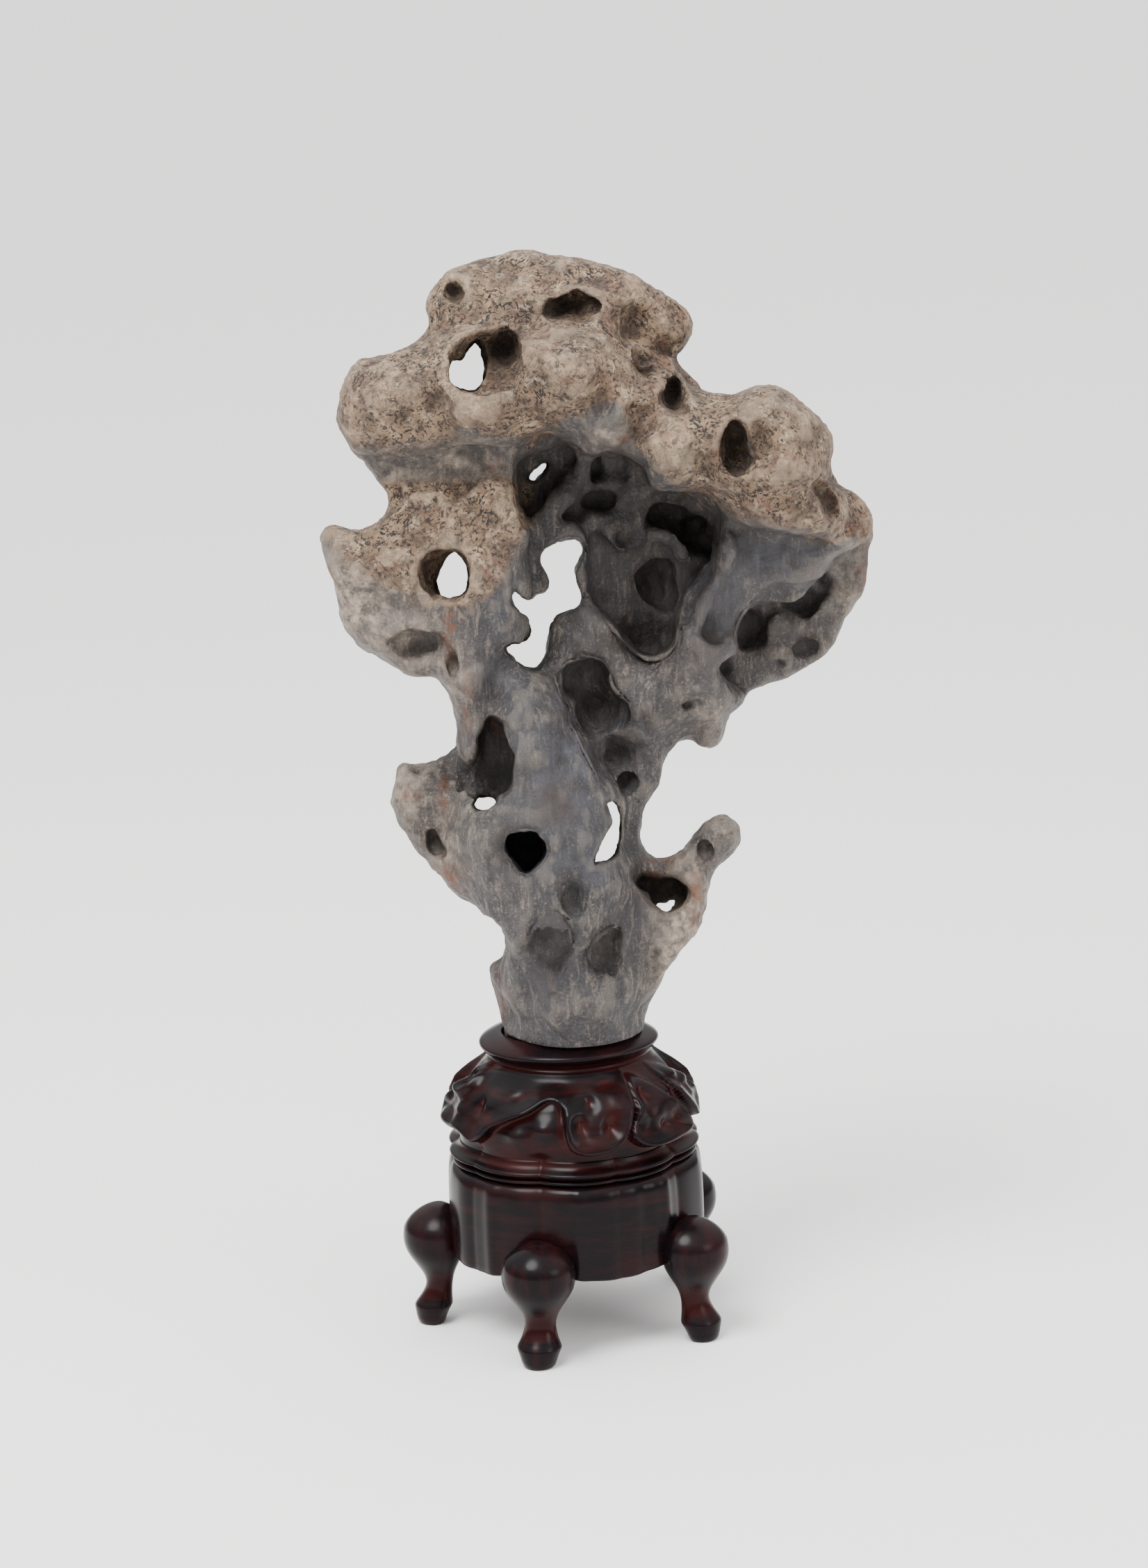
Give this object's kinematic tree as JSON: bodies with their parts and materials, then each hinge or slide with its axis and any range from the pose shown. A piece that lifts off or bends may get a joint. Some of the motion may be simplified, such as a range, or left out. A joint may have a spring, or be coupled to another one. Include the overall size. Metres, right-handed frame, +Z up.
{
  "type": "scholars rock on carved stand",
  "caption": "Upright weathered grey stone with holes and hollows, standing in the socket of a carved dark hardwood stand on short turned legs.",
  "frame": {"origin": "middle of the bounding box at floor level", "axes": "+Z up, -Y towards the front of the rock, +X to the right as seen from the front"},
  "size_m": [0.2486, 0.155, 0.4975],
  "materials": {
    "stone": "weathered limestone, tan on the top and front of the cap, smooth blue-grey below, waxed in places",
    "dark_wood": "dark red-brown carved hardwood, semi-gloss lacquer",
    "apron_wood": "dark red-brown hardwood, grain running level, semi-gloss lacquer",
    "leg_wood": "dark red-brown hardwood, grain running up and down, semi-gloss lacquer"
  },
  "bodies": {
    "root": {"stone": "stone", "stand_top": "dark_wood", "stand_apron": "apron_wood", "leg_front": "leg_wood", "leg_right": "leg_wood", "leg_back_right": "leg_wood", "leg_back_left": "leg_wood", "leg_left": "leg_wood"}
  },
  "joints": []
}
